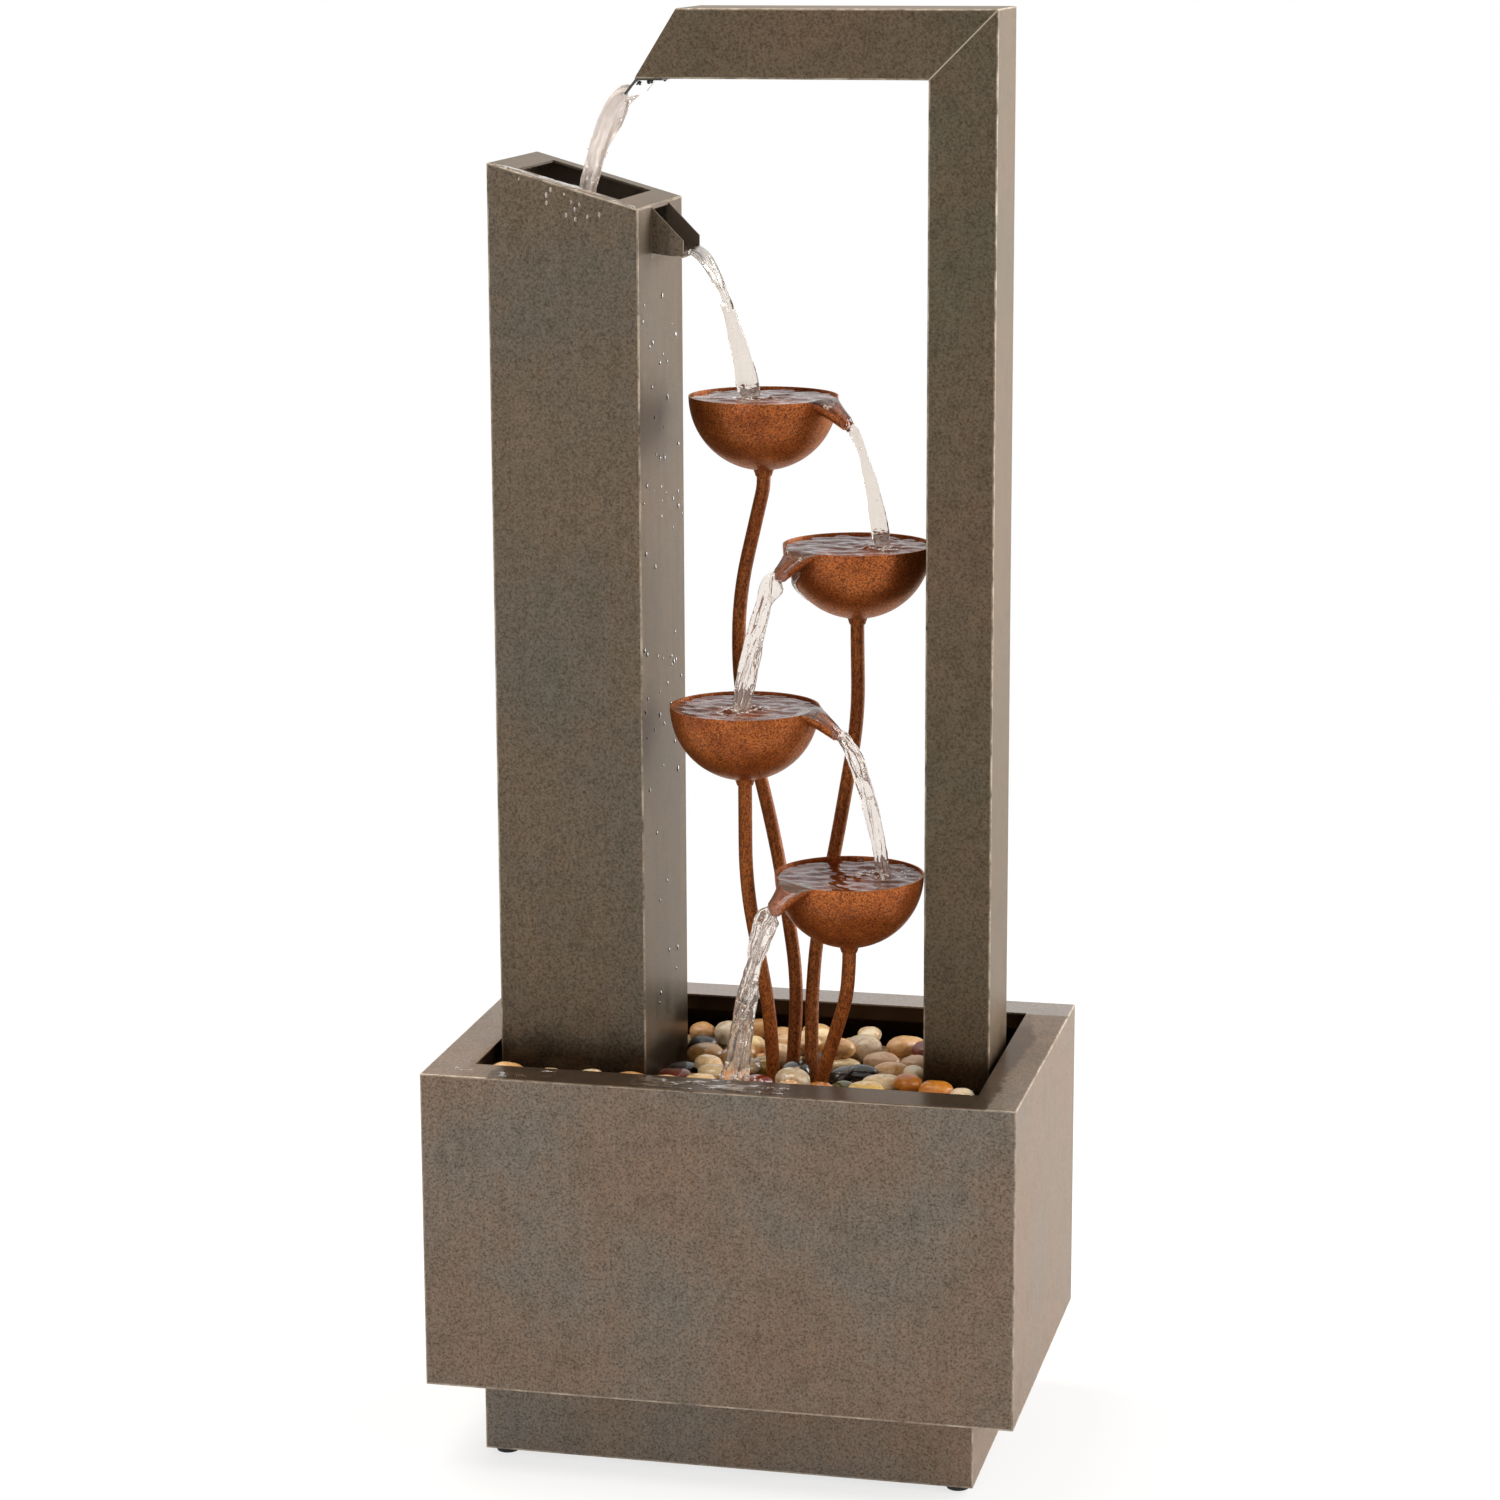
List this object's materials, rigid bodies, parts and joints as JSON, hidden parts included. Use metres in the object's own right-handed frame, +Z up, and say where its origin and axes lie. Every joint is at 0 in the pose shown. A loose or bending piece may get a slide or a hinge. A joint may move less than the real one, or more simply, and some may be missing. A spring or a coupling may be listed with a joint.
{
  "type": "tiered fountain",
  "caption": "Free-standing metal fountain: an arch pours into a slanted column, its chute feeds bowls on curved stems above a pebble-filled basin with a pump inside.",
  "frame": {"origin": "centre of the footprint on the floor, at the underside of the feet", "axes": "+X along the front from the column to the arch, +Y towards the back, +Z up"},
  "size_m": [0.43, 0.278, 1.043],
  "materials": {
    "patina_steel": "mottled taupe bronze patina on sheet steel, satin",
    "dark_steel": "dark wet steel",
    "rust_copper": "speckled rust and copper patina, satin",
    "rust_rod": "dark rust patina on bar, wet",
    "stainless": "plain zinc or stainless fasteners",
    "black_rubber": "matt black rubber",
    "black_plastic": "moulded black plastic",
    "white_plastic": "moulded white plastic",
    "clear_hose": "clear vinyl hose",
    "ceramic": "ground white ceramic",
    "magnet": "sintered ferrite",
    "stone_dark": "wet black river stone",
    "stone_amber": "wet amber river stone",
    "stone_grey": "wet grey river stone",
    "stone_tan": "wet tan river stone",
    "stone_cream": "wet cream river stone",
    "water": "clear running water"
  },
  "bodies": {
    "fountain": {"plinth_front_panel": "patina_steel", "plinth_back_panel": "patina_steel", "plinth_left_panel": "patina_steel", "plinth_right_panel": "patina_steel", "rubber_feet": "black_rubber", "foot_screws": "stainless", "basin_front_panel": "patina_steel", "basin_back_panel": "patina_steel", "basin_left_panel": "patina_steel", "basin_right_panel": "patina_steel", "basin_floor": "patina_steel", "cable_grommet": "black_rubber", "stone_deck": "dark_steel", "pump_hatch": "dark_steel", "deck_ledges": "dark_steel", "deck_bolts": "stainless", "deck_nuts": "stainless", "column_front_plate": "patina_steel", "column_back_plate": "patina_steel", "column_left_plate": "patina_steel", "column_right_plate": "patina_steel", "column_chute": "patina_steel", "column_trough": "dark_steel", "column_foot_frame": "dark_steel", "arch_post": "patina_steel", "arch_arm": "patina_steel", "arm_end_plate": "patina_steel", "arm_lip": "dark_steel", "arch_foot_plate": "dark_steel", "riser_hose": "clear_hose", "hose_clips": "black_plastic", "hose_clamp": "stainless", "hose_grommet": "black_rubber", "bowl_1": "rust_copper", "bowl_2": "rust_copper", "bowl_3": "rust_copper", "bowl_4": "rust_copper", "stem_1": "rust_rod", "stem_2": "rust_rod", "stem_3": "rust_rod", "stem_4": "rust_rod", "stem_collars": "rust_rod", "stem_nuts": "stainless", "stem_plate": "dark_steel", "pump_housing": "black_plastic", "pump_suction_cups": "black_rubber", "pump_cable_gland": "black_rubber", "pump_volute": "black_plastic", "pump_faceplate": "black_plastic", "pump_bushes": "black_rubber", "pump_shaft": "ceramic", "pebbles_dark": "stone_dark", "pebbles_amber": "stone_amber", "pebbles_grey": "stone_grey", "pebbles_tan": "stone_tan", "pebbles_cream": "stone_cream"},
    "rotor": {"pump_impeller": "white_plastic", "pump_magnet": "magnet"},
    "intake_cage": {"pump_intake_cage": "black_plastic"},
    "flow_dial": {"pump_flow_dial": "black_plastic"}
  },
  "joints": [
    {"name": "rotor_spin", "type": "hinge", "parent": "fountain", "child": "rotor", "pos_m": [0.14, 0, 0.096], "axis": [1, 0, 0], "continuous": true},
    {"name": "intake_cage_pull", "type": "slide", "parent": "fountain", "child": "intake_cage", "axis": [1, 0, 0], "range_m": [0, 0.016]},
    {"name": "flow_dial_turn", "type": "hinge", "parent": "intake_cage", "child": "flow_dial", "pos_m": [0.19, 0, 0.096], "axis": [1, 0, 0], "range_deg": [0, 45]}
  ]
}
